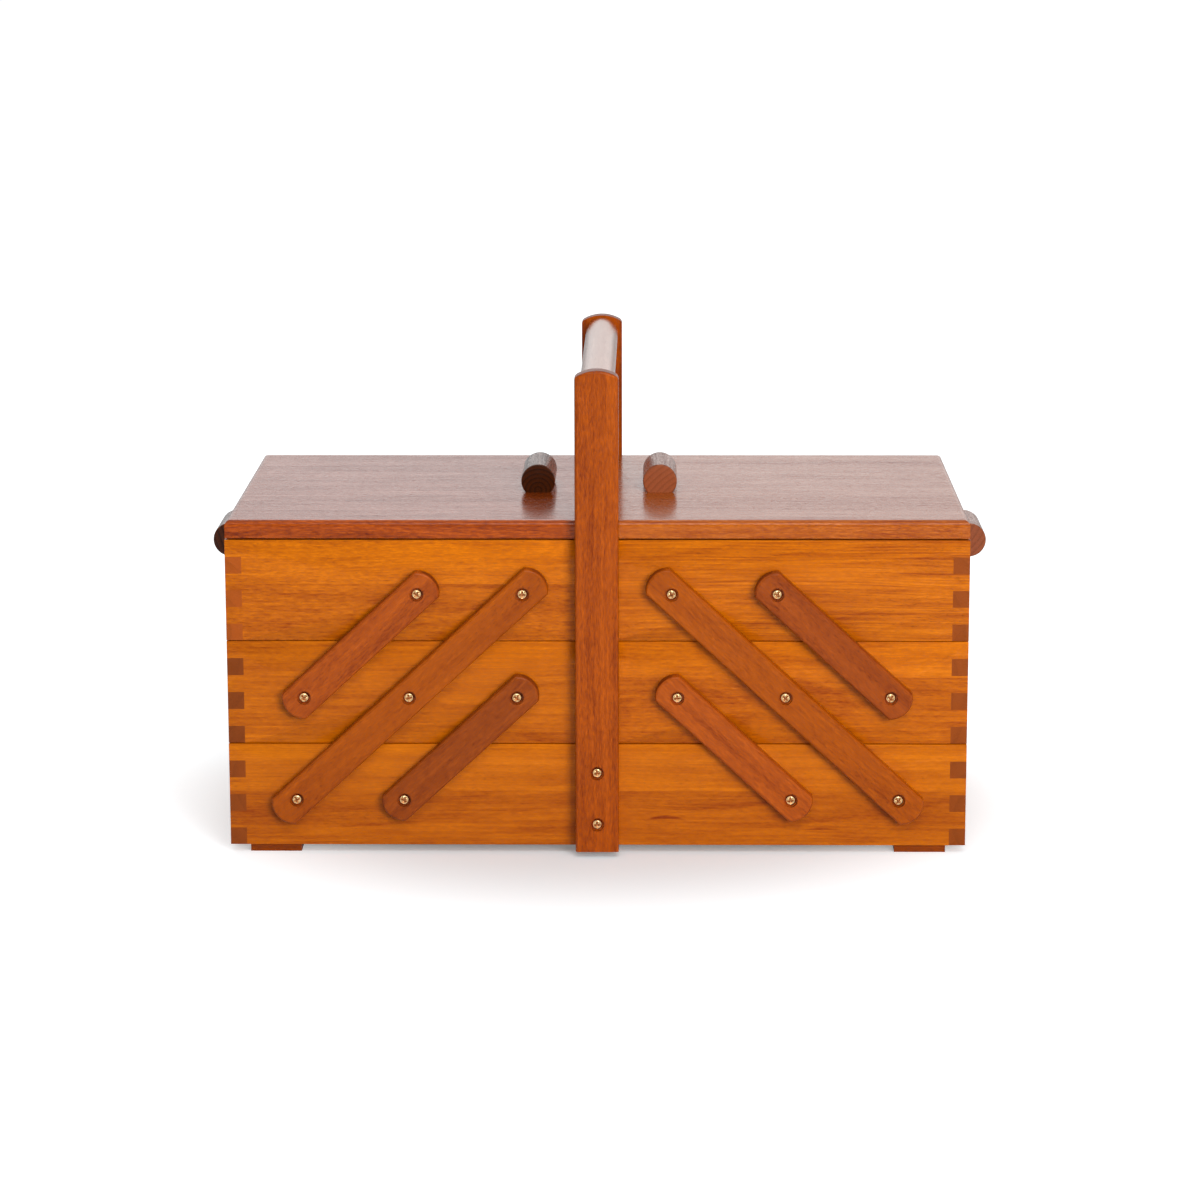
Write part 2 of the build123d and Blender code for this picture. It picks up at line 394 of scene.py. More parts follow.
@dataclass(frozen=True)
class Mark:
    """A short dark streak in a board, arched like an eyebrow, or round like a small knot."""

    x: float
    z: float
    half_length: float
    half_thickness: float
    arch: float
    depth: float

    def tone(self, x: Wire, z: Wire) -> Wire:
        """How much darker the board is at a place.

        Args:
            x: The place along the board, in millimetres.
            z: The place up the board.

        Returns:
            The tone to add.
        """
        along = (x - self.x) / self.half_length
        across = abs(z - self.z + along * along * self.arch) / self.half_thickness
        return (along * along + across ** FIGURE.mark_power).ramp(*FIGURE.mark_span, self.depth, 0.0)


@dataclass(frozen=True)
class Cut:
    """How one piece is sawn from the tree: where its rings' heart is, its strips and its marks."""

    grain: Grain
    seed: int
    shade: float = 1.0
    end_shade: float = 1.0
    heart: Pair | None = None
    ring_spacing: float = 7.0
    taper: float | None = None
    strip_edge: float | None = None
    strip_tone: float = 0.0
    lines: float = 0.7
    rings: float = 1.0
    roughness: float = 1.0
    marks: tuple[Mark, ...] = ()


@dataclass(frozen=True)
class Wood:
    """A stained and varnished wood, seen as a solid: rings, bands, fibres and pores.

    Depths are shares of the step from the light colour to the dark one.
    """

    name: str
    light: Colour
    dark: Colour
    end: Colour
    band_depth: float = 1.2
    mottle_depth: float = 0.5
    streak_depth: float = 1.0
    line_depth: float = 1.2
    fibre_depth: float = 2.0
    ring_depth: float = 0.35
    end_ring_depth: float = 0.15
    pore_depth: float = 0.55
    relief: float = 0.12
    roughness_depth: float = 0.1
    gloss: float = 0.27
    coat_gloss: float = 0.22
    ior: float = 1.3
    varnish: float = 0.0

    def material(self, label: str, cut: Cut, middle: Vector) -> bpy.types.Material:
        """Makes the finish for one piece.

        Args:
            label: The piece's name, for the material's name.
            cut: How the piece is sawn.
            middle: The middle of the piece, in metres.

        Returns:
            The material.
        """
        made, g = new_material(f"{self.name}_{label}")
        here = g.add("ShaderNodeTexCoord", output="Object")
        facing = g.add("ShaderNodeTexCoord", output="Normal")
        mapping = {"Vector": here, "Rotation": cut.grain.turn(), "Scale": (1 / MM, 1 / MM, 1 / MM)}
        laid = g.add("ShaderNodeMapping", {}, mapping)
        tone, pore, fibre, late_wood = self.figure(g, laid, cut, middle)
        face = g.mix(tone, self.light, self.dark, beyond=True)
        pore_colour = tuple(channel * FIGURE.pore_darkness for channel in self.dark)
        face = g.mix(pore * (self.pore_depth * cut.roughness), face, pore_colour) * cut.shade
        vessels = g.noise(laid, FIGURE.vessel).ramp(*FIGURE.vessel_span)
        end_tone = FIGURE.end_tone - late_wood * self.end_ring_depth - vessels * FIGURE.end_vessel_depth
        end_tone = end_tone + fibre.from_middle() * FIGURE.end_fibre_depth
        end = g.vector(*self.end) * (end_tone * cut.end_shade)
        sheen = fibre * FIGURE.sheen_from_fibre + tone * FIGURE.sheen_from_tone
        cut_end = abs(g.dot(facing, cut.grain.direction())).ramp(*FIGURE.end_grain_span)
        height = fibre * FIGURE.relief_height - pore * FIGURE.relief_height
        relief = {"Strength": self.relief, "Distance": FIGURE.relief_depth * MM, "Height": height}
        roughness = self.gloss + pore * FIGURE.pore_roughness + sheen.from_middle() * self.roughness_depth
        finish = {
            "Base Color": g.mix(cut_end, face, end),
            "Roughness": roughness + cut_end * FIGURE.end_roughness,
            "IOR": self.ior,
            "Coat Weight": self.coat(tone, pore),
            "Coat Roughness": self.coat_gloss,
            "Coat IOR": self.ior,
            "Normal": g.add("ShaderNodeBump", {}, relief),
        }
        g.add("ShaderNodeOutputMaterial", {}, [g.add("ShaderNodeBsdfPrincipled", {}, finish)])
        return made

    def coat(self, tone: Wire, pore: Wire) -> Any:
        """The varnish's weight: thinner in the pores and over the dark streaks.

        Args:
            tone: How dark the wood is.
            pore: Where its pores are.

        Returns:
            The weight, a wire, or 0 for a wood without a thick varnish.
        """
        if not self.varnish:
            return 0.0
        thinner = tone.from_middle() * self.roughness_depth
        return self.varnish * (FIGURE.full_coat - thinner - pore * FIGURE.pore_coat_loss)

    def figure(self, g: Graph, laid: Wire, cut: Cut, middle: Vector) -> tuple[Wire, Wire, Wire, Wire]:
        """Draws the wood's figure in the solid.

        Args:
            g: The material's graph.
            laid: The place in millimetres, with X along the fibres.
            cut: How the piece is sawn.
            middle: The middle of the piece, in metres.

        Returns:
            The tone, which may pass 0 and 1, and the pores, the fibres and the rings' late wood.
        """
        dice = random.Random(cut.seed)
        x, _, z = laid.parts()
        place = laid + tuple(dice.uniform(*FIGURE.start_range) for _ in range(3))
        strip_tone = 0.0
        if cut.strip_edge is not None:
            seam = FIGURE.strip_seam
            lower = z.ramp(cut.strip_edge - seam, cut.strip_edge + seam, 1.0, 0.0)
            place = place + g.vector(*(lower * shift for shift in FIGURE.strip_shift))
            strip_tone = lower.from_middle() * cut.strip_tone
        sway = g.noise(place, FIGURE.sway_noise).from_middle()
        place = place + g.vector(0.0, 0.0, sway * FIGURE.sway)

        late_wood = self.late_wood(g, laid, cut, cut.grain.matrix() @ middle / MM, sway, dice)
        kinds = (FIGURE.band, FIGURE.mottle, FIGURE.streak, FIGURE.line, FIGURE.fibre, FIGURE.pore)
        band, mottle, streak, line, fibre, holes = (g.noise(place, kind) for kind in kinds)
        pore = holes.ramp(*FIGURE.pore_span) * band.ramp(*FIGURE.pore_band_span)
        fibre_gain = FIGURE.fibre_gain - FIGURE.fibre_loss_to_lines * cut.lines
        ring = (late_wood - FIGURE.mean_late_wood) * band.ramp(*FIGURE.ring_band_span)
        tone = (
            MIDDLE
            + band.from_middle() * self.band_depth
            + mottle.from_middle() * self.mottle_depth
            + streak.from_middle() * self.streak_depth
            + line.from_middle() * (self.line_depth * cut.lines)
            + fibre.from_middle() * (self.fibre_depth * cut.roughness * fibre_gain)
            + ring * (self.ring_depth * cut.rings)
            + strip_tone
        )
        for mark in cut.marks:
            tone = tone + mark.tone(x, z)
        return tone, pore, fibre, late_wood

    def late_wood(
        self, g: Graph, laid: Wire, cut: Cut, at: Vector, sway: Wire, dice: random.Random
    ) -> Wire:
        """Draws the rings round the tree's heart.

        Args:
            g: The material's graph.
            laid: The place in millimetres, with X along the fibres.
            cut: How the piece is sawn.
            at: The middle of the piece, laid the same way.
            sway: How far the fibres wander here, around 0.
            dice: Sets the heart and the taper where the cut leaves them open.

        Returns:
            0 in the early wood, rising to 1 at the edge of each ring.
        """
        heart = cut.heart
        if heart is None:
            side = dice.choice((-1, 1)) * dice.uniform(*FIGURE.heart_side_range)
            heart = (side, dice.uniform(*FIGURE.heart_height_range))
        taper = dice.uniform(*FIGURE.taper_range) if cut.taper is None else cut.taper
        x, _, _ = laid.parts()
        off_heart = laid - (at[0], at[1] + heart[0], at[2] + heart[1])
        drift = (x - at[0]) * taper + sway * (FIGURE.free_drift if cut.heart is None else FIGURE.set_drift)
        radius = g.length(off_heart * (0.0, 1.0, 1.0) + g.vector(0.0, drift, 0.0))
        ring = (radius / cut.ring_spacing).fraction()
        return ring ** FIGURE.late_wood_power * ring.ramp(*FIGURE.late_wood_span)


@dataclass(frozen=True)
class Brass:
    """Polished brass with fine turning marks and a little tarnish."""

    name: str = "brass"
    colour: Colour = srgb(250, 208, 150)
    tarnish: Colour = srgb(176, 116, 66)
    gloss: float = 0.16
    spots: Noise = Noise(900.0, 3.0)
    tarnish_span: Span = (0.5, 0.8)
    marks: Noise = Noise(5200.0, 2.0)
    mark_relief: float = 0.25
    mark_depth: float = 0.1
    mark_roughness: float = 0.2

    def material(self) -> bpy.types.Material:
        """Makes the finish.

        Returns:
            The material.
        """
        made, g = new_material(self.name)
        here = g.add("ShaderNodeTexCoord", output="Object")
        spots = g.noise(here, self.spots)
        marks = g.noise(here, self.marks)
        relief = {"Strength": self.mark_relief, "Distance": self.mark_depth * MM, "Height": marks}
        finish = {
            "Base Color": g.mix(spots.ramp(*self.tarnish_span), self.colour, self.tarnish),
            "Metallic": 1.0,
            "Roughness": self.gloss + marks.from_middle() * self.mark_roughness,
            "Normal": g.add("ShaderNodeBump", {}, relief),
        }
        g.add("ShaderNodeOutputMaterial", {}, [g.add("ShaderNodeBsdfPrincipled", {}, finish)])
        return made


ARM_FIGURE = dict(streak_depth=0.8, line_depth=0.7, fibre_depth=1.6, ring_depth=0.2, pore_depth=0.5, ior=1.27)
LID_FIGURE = dict(
    line_depth=1.4, pore_depth=0.7, relief=0.3, roughness_depth=0.3, gloss=0.22, coat_gloss=0.15,
    varnish=0.6,
)
GRIP_FIGURE = dict(line_depth=2.0, relief=0.5, roughness_depth=0.4, gloss=0.25, ior=1.25)


class Stain(Enum):
    """The woods of the box, each in its own stain."""

    TRAY = Wood("tray_wood", srgb(220, 117, 4), srgb(174, 81, 2), srgb(142, 66, 14), ior=1.27)
    LONG_ARM = Wood(
        "long_arm_wood", srgb(184, 88, 4), srgb(146, 62, 2), srgb(124, 50, 12), **ARM_FIGURE,
    )
    SHORT_ARM = Wood(
        "short_arm_wood", srgb(180, 84, 16), srgb(138, 56, 8), srgb(114, 44, 12), **ARM_FIGURE,
    )
    LID = Wood(
        "lid_wood", srgb(190, 82, 0), srgb(140, 52, 0), srgb(134, 54, 14),
        streak_depth=1.5, fibre_depth=2.4, ior=1.26, **LID_FIGURE,
    )
    PALE_LID = Wood(
        "pale_lid_wood", srgb(204, 104, 10), srgb(164, 70, 2), srgb(150, 70, 24),
        streak_depth=1.3, fibre_depth=2.2, ior=1.28, **LID_FIGURE,
    )
    POST = Wood(
        "post_wood", srgb(182, 82, 2), srgb(138, 54, 0), srgb(122, 50, 14),
        streak_depth=1.2, line_depth=0.9, fibre_depth=2.0, ring_depth=0.25, pore_depth=0.5, ior=1.27,
    )
    ROD = Wood(
        "rod_wood", srgb(196, 112, 58), srgb(158, 84, 40), srgb(132, 60, 28),
        gloss=0.2, ior=1.6, varnish=0.7,
    )
    GRIP = Wood(
        "grip_wood", srgb(164, 88, 40), srgb(116, 52, 22), srgb(156, 84, 50),
        end_ring_depth=0.4, varnish=0.5, **GRIP_FIGURE,
    )
    DARK_GRIP = Wood(
        "dark_grip_wood", srgb(128, 66, 34), srgb(58, 26, 12), srgb(86, 36, 0),
        end_ring_depth=1.0, varnish=0.45, **GRIP_FIGURE,
    )
    PLY = Wood(
        "plywood", srgb(214, 160, 98), srgb(186, 128, 72), srgb(170, 112, 62),
        ring_depth=0.5, gloss=0.5, ior=1.4,
    )


def set_material(piece: bpy.types.Object, material: bpy.types.Material) -> None:
    """Gives a whole piece one material.

    Args:
        piece: The object.
        material: Its material.
    """
    piece.data.materials.clear()
    piece.data.materials.append(material)


@dataclass
class EasedEdges:
    """Takes the sharpness off a tray's outer edges, as sanding does, and leaves its joints flush."""

    name: str
    low: Vector
    high: Vector
    width: float = 0.16
    keep_sharp: float = 40.0
    merge_distance: float = 0.01
    outer_tolerance: float = 0.05
    folded_from: float = 0.8
    more_than_one: float = 1.5

    def marking(self) -> bpy.types.GeometryNodeTree:
        """Makes the tree that joins a board's faces and marks the edges on the tray's own corners."""
        g = modifier_graph(f"{self.name}_outer_edges")
        shape = g.add("NodeGroupInput")
        merging = {"Geometry": shape, "Distance": self.merge_distance * MM}
        joined = g.add("GeometryNodeMergeByDistance", {}, merging)
        middle = (self.low + self.high) / 2
        half = (self.high - self.low) / 2
        place = g.add("GeometryNodeInputPosition")
        off_middle = g.add("ShaderNodeVectorMath", {"operation": "ABSOLUTE"}, [place - tuple(middle)])
        depth = off_middle - tuple(half)
        on_x, on_y, on_z = (side.above(-self.outer_tolerance * MM) for side in depth.parts())
        folded = g.add("GeometryNodeInputMeshEdgeAngle").above(self.folded_from)
        outer = (on_x + on_y + on_z).above(self.more_than_one) * folded
        settings = {"data_type": "FLOAT", "domain": "EDGE"}
        stored = g.add(
            "GeometryNodeStoreNamedAttribute", settings,
            {"Geometry": joined, "Name": "bevel_weight_edge", "Value": outer},
        )
        g.add("NodeGroupOutput", {}, [stored])
        return g.tree

    def smoothing(self) -> bpy.types.GeometryNodeTree:
        """Makes the tree that shades the rounded edges smoothly and the rest flat."""
        g = modifier_graph(f"{self.name}_shading")
        shape = g.add("NodeGroupInput")
        sharp = g.add("GeometryNodeInputMeshEdgeAngle").above(math.radians(self.keep_sharp))
        shaded = g.add(
            "GeometryNodeSetMeshNormal", {"mode": "SHARPNESS"},
            {"Mesh": shape, "Remove Custom": True, "Edge Sharpness": sharp, "Face Sharpness": False},
        )
        g.add("NodeGroupOutput", {}, [shaded])
        return g.tree

    def apply(self, names: Sequence[str]) -> None:
        """Eases the boards of the tray.

        Args:
            names: The boards' nodes.
        """
        marking = self.marking()
        smoothing = self.smoothing()
        for name in names:
            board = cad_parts[name]
            board.modifiers.new("outer_edges", "NODES").node_group = marking
            bevel = board.modifiers.new("easing", "BEVEL")
            bevel.limit_method = "WEIGHT"
            bevel.width = self.width * MM
            bevel.segments = 2
            bevel.use_clamp_overlap = True
            board.modifiers.new("shading", "NODES").node_group = smoothing


def modifier_graph(name: str) -> Graph:
    """Starts the node tree of a modifier, with geometry in and geometry out.

    Args:
        name: The tree's name.

    Returns:
        Its graph, without nodes.
    """
    tree = bpy.data.node_groups.new(name, "GeometryNodeTree")
    tree.interface.new_socket("Geometry", in_out="INPUT", socket_type="NodeSocketGeometry")
    tree.interface.new_socket("Geometry", in_out="OUTPUT", socket_type="NodeSocketGeometry")
    return Graph(tree)


@dataclass
class Dressed:
    """A sub-assembly that is made of CAD nodes with a finish each."""

    name: str
    seed: int = 0
    shade: float = 1.0

    def wood(self, node: str, stain: Stain, grain: Grain, **cut: Any) -> None:
        """Gives a node a wood of its own cut.

        Args:
            node: The node's name.
            stain: Its wood.
            grain: Which way its fibres run.
            **cut: Other fields of its Cut.
        """
        self.seed += 1
        low, high = (Vector(corner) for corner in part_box(node))
        sawn = Cut(grain, self.seed, **{"shade": self.shade, **cut})
        set_material(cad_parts[node], stain.value.material(node, sawn, (low + high) / 2))
        LOG.info("%s: %s in %s", self.name, node, stain.value.name)


@dataclass
class Tray(Dressed):
    """A tray of four finger-jointed boards, with its bottom panel and, in the upper tiers, a divider."""

    ends: tuple[str, str] = ("left_end", "right_end")
    divided: bool = False
    end_shade: float = 1.0
    strip_edge: float | None = None
    strip_tone: float = 0.3
    taper: float | None = None
    heart: Pair | None = None
    lines: float = 0.7
    rings: float = 1.0
    roughness: float = 1.0
    marks: tuple[Mark, ...] = ()

    def dress(self) -> None:
        """Gives the boards, the panel and the divider their woods, and eases the outer edges."""
        every = {
            "strip_edge": self.strip_edge, "strip_tone": self.strip_tone,
            "end_shade": self.end_shade, "roughness": self.roughness,
        }
        front = {
            "taper": self.taper, "heart": self.heart, "lines": self.lines,
            "rings": self.rings, "marks": self.marks,
        }
        boards = [f"{self.name}_{part}" for part in ("front_board", "back_board", *self.ends)]
        self.wood(boards[0], Stain.TRAY, Grain.ALONG_X, **every, **front)
        for board, grain in zip(boards[1:], (Grain.ALONG_X, Grain.ALONG_Y, Grain.ALONG_Y)):
            self.wood(board, Stain.TRAY, grain, **every)
        self.wood(f"{self.name}_bottom_panel", Stain.PLY, Grain.ALONG_X, shade=1.0)
        if self.divided:
            self.wood(f"{self.name}_divider", Stain.PLY, Grain.ALONG_Y, shade=1.0)
        corners = [Vector(corner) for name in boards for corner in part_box(name)]
        low = Vector([min(corner[i] for corner in corners) for i in range(3)])
        high = Vector([max(corner[i] for corner in corners) for i in range(3)])
        EasedEdges(self.name, low, high).apply(boards)


@dataclass
class Feet(Dressed):
    """The four square blocks under the base."""

    def dress(self) -> None:
        """Gives the feet their wood."""
        self.wood("feet", Stain.POST, Grain.ALONG_X)


@dataclass
class Arms(Dressed):
    """The three pairs of arms on one side."""

    grain: Grain = Grain.LEFT_ARM
    shades: tuple[float, float, float] = (1.0, 1.0, 1.0)

    def dress(self) -> None:
        """Gives each arm its wood, with the fibres along it."""
        stains = (Stain.LONG_ARM, Stain.SHORT_ARM, Stain.SHORT_ARM)
        for kind, stain, shade in zip(("long", "lower", "upper"), stains, self.shades):
            for place in ("front", "back"):
                self.wood(f"{self.name}_{kind}_arm_{place}", stain, self.grain, shade=shade)


@dataclass
class Handle(Dressed):
    """The two posts and the rod between them."""

    def dress(self) -> None:
        """Gives the posts and the rod their woods."""
        self.wood("handle_front_post", Stain.POST, Grain.ALONG_Z)
        self.wood("handle_back_post", Stain.POST, Grain.ALONG_Z)
        self.wood("handle_grip_rod", Stain.ROD, Grain.ALONG_Y)


@dataclass
class Lid(Dressed):
    """A lid, its knob and the pull below it, on one side."""

    stain: Stain = Stain.LID
    grip_stain: Stain = Stain.DARK_GRIP
    grip_shade: float = 1.0
    knob_end_shade: float = 1.0
    pull_shade: float = 1.0
    pull_rings: float = 2.5
    knob_heart: Pair = (0.0, -6.0)
    knob_rings: float = 2.2

    def dress(self) -> None:
        """Gives the lid, the knob and the pull their woods."""
        self.wood(f"{self.name}_lid", self.stain, Grain.ALONG_X)
        self.wood(
            f"{self.name}_lid_knob", self.grip_stain, Grain.ALONG_Y, shade=self.grip_shade,
            end_shade=self.knob_end_shade, heart=self.knob_heart, ring_spacing=self.knob_rings, taper=0.0,
        )
        self.wood(
            f"{self.name}_side_pull", self.grip_stain, Grain.ALONG_Y,
            shade=self.grip_shade, end_shade=self.pull_shade, ring_spacing=self.pull_rings,
        )


@dataclass
class ScrewHead:
    """The sizes of one kind of screw with a cross recess, in millimetres or as shares of its sizes."""

    radius: float = 2.6
    height: float = 1.85
    rim_height: float = 0.4
    recess_reach: float = 1.8
    recess_half_width: float = 0.46
    recess_depth: float = 1.4
    recess_floor: float = 0.4
    recess_point: float = 0.15
    lip_inside: float = 0.93
    lip_outside: float = 1.03
    lip_depth: float = 0.06
    dome_power: float = 0.7
    dome_rings: tuple[float, ...] = (0.74, 0.88, 0.96, 1.0)
    shank_radius: float = 1.7
    shank_sides: int = 12
    thread_root: float = 1.3
    thread_pitch: float = 1.1
    thread_length: float = 5.0
    tip_length: float = 0.8
    tip_radius: float = 0.25

    def dome(self, radius: float) -> float:
        """Height of the head's surface at a distance from its axis."""
        share = min(radius / self.radius, 1.0)
        return self.rim_height + (self.height - self.rim_height) * (1 - share ** 2) ** self.dome_power

    def cross(self) -> list[Pair]:
        """The recess's outline: 24 points round the axis, each as angle and distance."""
        tiny = 1e-6
        reach, half = self.recess_reach, self.recess_half_width
        corner = math.atan2(half, reach)
        angles = [0.0, corner, math.pi / 6, math.pi / 4, math.pi / 3, math.pi / 2 - corner]
        outline = []
        for quarter in range(4):
            for angle in angles:
                across = min(abs(math.sin(angle)), abs(math.cos(angle)))
                along = max(abs(math.sin(angle)), abs(math.cos(angle)))
                distance = min(reach / along, half / across if across > tiny else reach)
                outline.append((angle + quarter * math.pi / 2, distance))
        return outline

    def build(self, shape: bmesh.types.BMesh, place: Matrix, shank: float) -> None:
        """Adds one screw to a mesh.

        Args:
            shape: The mesh that it goes into.
            place: The head's seat, with Z out of the wood, in metres.
            shank: Length of the shank below the seat, in millimetres, or 0 for none.
        """
        cross = self.cross()
        floor = self.height - self.recess_depth
        lip = self.lip_outside
        outlines = [
            [(a, r * self.recess_floor, floor) for a, r in cross],
            [(a, r * self.lip_inside, self.dome(r) - self.lip_depth * self.height) for a, r in cross],
            [(a, r * lip, self.dome(r * lip)) for a, r in cross],
        ]
        for share in self.dome_rings:
            outlines.append([(a, self.radius * share, self.dome(self.radius * share)) for a, _ in cross])
        outlines.append([(a, self.radius, 0.0) for a, _ in cross])
        rings = [add_ring(shape, place, outline) for outline in outlines]
        # The recess walls and floor take the second material: darker brass that is partly tarnish and partly
        # painted shade.
        bridge(shape, rings, smooth_from=2, dark_to=1)
        point = floor - self.recess_point * self.recess_depth
        centre = shape.verts.new(place @ (Vector((0, 0, point)) * MM))
        count = len(cross)
        for i in range(count):
            shape.faces.new((centre, rings[0][i], rings[0][(i + 1) % count])).material_index = 1
        shape.faces.new(rings[-1][::-1])
        if shank:
            self.build_shank(shape, place, shank)

    def build_shank(self, shape: bmesh.types.BMesh, place: Matrix, length: float) -> None:
        """Adds the shank with its thread below the head.

        Args:
            shape: The mesh that it goes into.
            place: The head's seat, in metres.
            length: Length of the shank, in millimetres.
        """
        levels = [(self.shank_radius, 0.0)]
        depth = length - self.thread_length
        while depth < length - self.tip_length:
            levels += [(self.thread_root, depth), (self.shank_radius, depth + self.thread_pitch / 2)]
            depth += self.thread_pitch
        levels.append((self.tip_radius, length))
        angles = [2 * math.pi * i / self.shank_sides for i in range(self.shank_sides)]
        rings = [add_ring(shape, place, [(a, radius, -depth) for a in angles]) for radius, depth in levels]
        bridge(shape, rings, smooth_from=len(rings))
        shape.faces.new(rings[0])
        shape.faces.new(rings[-1][::-1])


def add_ring(
    shape: bmesh.types.BMesh, place: Matrix, points: Sequence[Point]
) -> list[bmesh.types.BMVert]:
    """Adds a ring of vertices to a mesh.

    Args:
        shape: The mesh that they go into.
        place: The middle of the ring's axis, in metres.
        points: Each vertex's angle, distance from the axis and height, in millimetres.

    Returns:
        The vertices.
    """
    ring = []
    for angle, reach, height in points:
        at = Vector((reach * math.cos(angle), reach * math.sin(angle), height)) * MM
        ring.append(shape.verts.new(place @ at))
    return ring


def bridge(
    shape: bmesh.types.BMesh, rings: Sequence[Sequence[bmesh.types.BMVert]],
    smooth_from: int, dark_to: int = 0,
) -> None:
    """Joins rings of vertices with faces.

    Args:
        shape: The mesh that the rings are in.
        rings: The rings, in order, with as many vertices each.
        smooth_from: The first ring from which the faces are shaded smoothly.
        dark_to: The ring up to which the faces take the second material, the recess's darker brass, partly
            tarnish and partly painted shade.
    """
    for number, (inner, outer) in enumerate(zip(rings, rings[1:])):
        for i in range(len(inner)):
            j = (i + 1) % len(inner)
            face = shape.faces.new((inner[i], outer[i], outer[j], inner[j]))
            face.smooth = number >= smooth_from
            face.material_index = 1 if number < dark_to else 0


def seat(place: Point, out: Point, turn: float) -> Matrix:
    """Where a screw's head sits.

    Args:
        place: Its place, in millimetres.
        out: Direction out of the wood.
        turn: Turn of the cross recess, in radians.

    Returns:
        The place, in metres, with Z out of the wood.
    """
    facing = Vector(out).to_track_quat("Z", "Y").to_matrix().to_4x4()
    return Matrix.Translation(Vector(place) * MM) @ facing @ Matrix.Rotation(turn, 4, "Z")


@dataclass
class Screws:
    """The brass screws of the arms, the posts and the hinges."""

    brass: Brass = field(default_factory=Brass)
    # The recess's brass is darker and rougher: partly tarnish, partly painted shade in the cross recess.
    recess_tarnish_and_shade_brass: Brass = Brass("recess_tarnish_and_shade_brass", srgb(226, 170, 116), srgb(170, 110, 66), gloss=0.36)
    arm_head: ScrewHead = field(default_factory=ScrewHead)
    hinge_head: ScrewHead = field(
        default_factory=lambda: ScrewHead(
            radius=1.55, height=0.04, rim_height=0.04,
            recess_reach=0.95, recess_half_width=0.24, recess_depth=0.03,
        )
    )
    long_arm_x: float = 146.6
    lower_arm_x: float = 94.2
    upper_arm_x: float = 142.25
    reach: float = 55.3
    pitch: float = 51.2
    base_z: float = 28.4
    post_screws_z: Pair = (16.8, 42.6)
    arm_seat: float = 100.1
    post_seat: float = 102.5
    tip: float = 89.6
    hinge_x: float = 176.3
    hinge_y: float = 50.0
    hinge_screw_step: float = 7.5
    fixed_leaf_top: float = 156.6
    moving_leaf_bottom: float = 156.7
    seed: int = 7

    def build(self) -> None:
        """Makes every screw."""
        metals = (self.brass.material(), self.recess_tarnish_and_shade_brass.material())
        dice = random.Random(self.seed)
        arms = (self.long_arm_x, self.lower_arm_x)
        base = [(side * x, self.base_z, self.arm_seat) for side in (-1, 1) for x in arms]
        base += [(0.0, z, self.post_seat) for z in self.post_screws_z]
        self.build_set("base_wood_screws", "base_and_handle", "base_screws", base, metals, dice)
        for name, side in (("left", -1), ("right", 1)):
            middle = (self.upper_arm_x, self.long_arm_x - self.reach, self.lower_arm_x - self.reach)
            top = (self.upper_arm_x - self.reach, self.long_arm_x - 2 * self.reach)
            for tier, tray, row in ((1, "middle", middle), (2, "top", top)):
                places = [(side * x, self.base_z + tier * self.pitch, self.arm_seat) for x in row]
                own = f"{name}_{tray}"
                self.build_set(
                    f"{own}_wood_screws", f"{own}_tray", f"{own}_pivot_screws", places, metals, dice,
                )
            self.build_hinge_screws(name, side, metals, dice)

    def build_set(
        self, name: str, body: str, node: str, places: Sequence[Point], metals: Sequence[bpy.types.Material],
        dice: random.Random,
    ) -> None:
        """Makes the screws of one node, in front and behind.

        Args:
            name: The piece's name.
            body: The body that it moves with.
            node: The node that it stands for.
            places: Each screw's x, z and its seat's distance from the middle.
            metals: The head's brass and the recess's darker brass, partly tarnish and partly painted shade.
            dice: Turns each recess by chance.
        """
        shape = bmesh.new()
        for x, z, reach in places:
            for out in (-1, 1):
                at = seat((x, out * reach, z), (0, out, 0), dice.uniform(0, math.pi / 2))
                self.arm_head.build(shape, at, reach - self.tip)
        piece = finished_mesh(name, shape, metals)
        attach(piece, body)
        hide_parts(node)

    def build_hinge_screws(
        self, side_name: str, side: int, metals: Sequence[bpy.types.Material], dice: random.Random
    ) -> None:
        """Makes the small screws in the hinge leaves of one lid.

        Args:
            side_name: The lid's side, as nodes say it.
            side: -1 on the left, 1 on the right.
            metals: The head's brass and the recess's darker brass, partly tarnish and partly painted shade.
            dice: Turns each recess by chance.
        """
        leaves = (
            ("fixed", f"{side_name}_top_tray", self.fixed_leaf_top, 1),
            ("moving", f"{side_name}_lid_panel", self.moving_leaf_bottom, -1),
        )
        for leaf, body, height, out in leaves:
            shape = bmesh.new()
            for y in (-self.hinge_y, self.hinge_y):
                for step in (-self.hinge_screw_step, self.hinge_screw_step):
                    turn = dice.uniform(0, math.pi / 2)
                    at = seat((side * self.hinge_x, y + step, height), (0, 0, out), turn)
                    self.hinge_head.build(shape, at, 0.0)
            piece = finished_mesh(f"{side_name}_hinge_screws_{leaf}", shape, metals)
            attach(piece, body)


def finished_mesh(
    name: str, shape: bmesh.types.BMesh, materials: Sequence[bpy.types.Material]
) -> bpy.types.Object:
    """Turns a mesh under construction into an object of the scene.

    Args:
        name: The object's name.
        shape: The mesh, which is freed.
        materials: Its materials, in the order of the faces' numbers.

    Returns:
        The object.
    """
    bmesh.ops.recalc_face_normals(shape, faces=shape.faces[:])
    mesh = bpy.data.meshes.new(name)
    shape.to_mesh(mesh)
    shape.free()
    piece = new_object(name, mesh)
    for material in materials:
        mesh.materials.append(material)
    LOG.info("piece: %s with %d faces", name, len(mesh.polygons))
    return piece


@dataclass
class Hinges:
    """The brass hinges, which are CAD nodes."""

    brass: Brass = field(default_factory=lambda: Brass("hinge_brass", gloss=0.3))

    def dress(self) -> None:
        """Gives the hinges their brass."""
        material = self.brass.material()
        for name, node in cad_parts.items():
            if "hinges" in name:
                set_material(node, material)
                LOG.info("brass: %s", name)


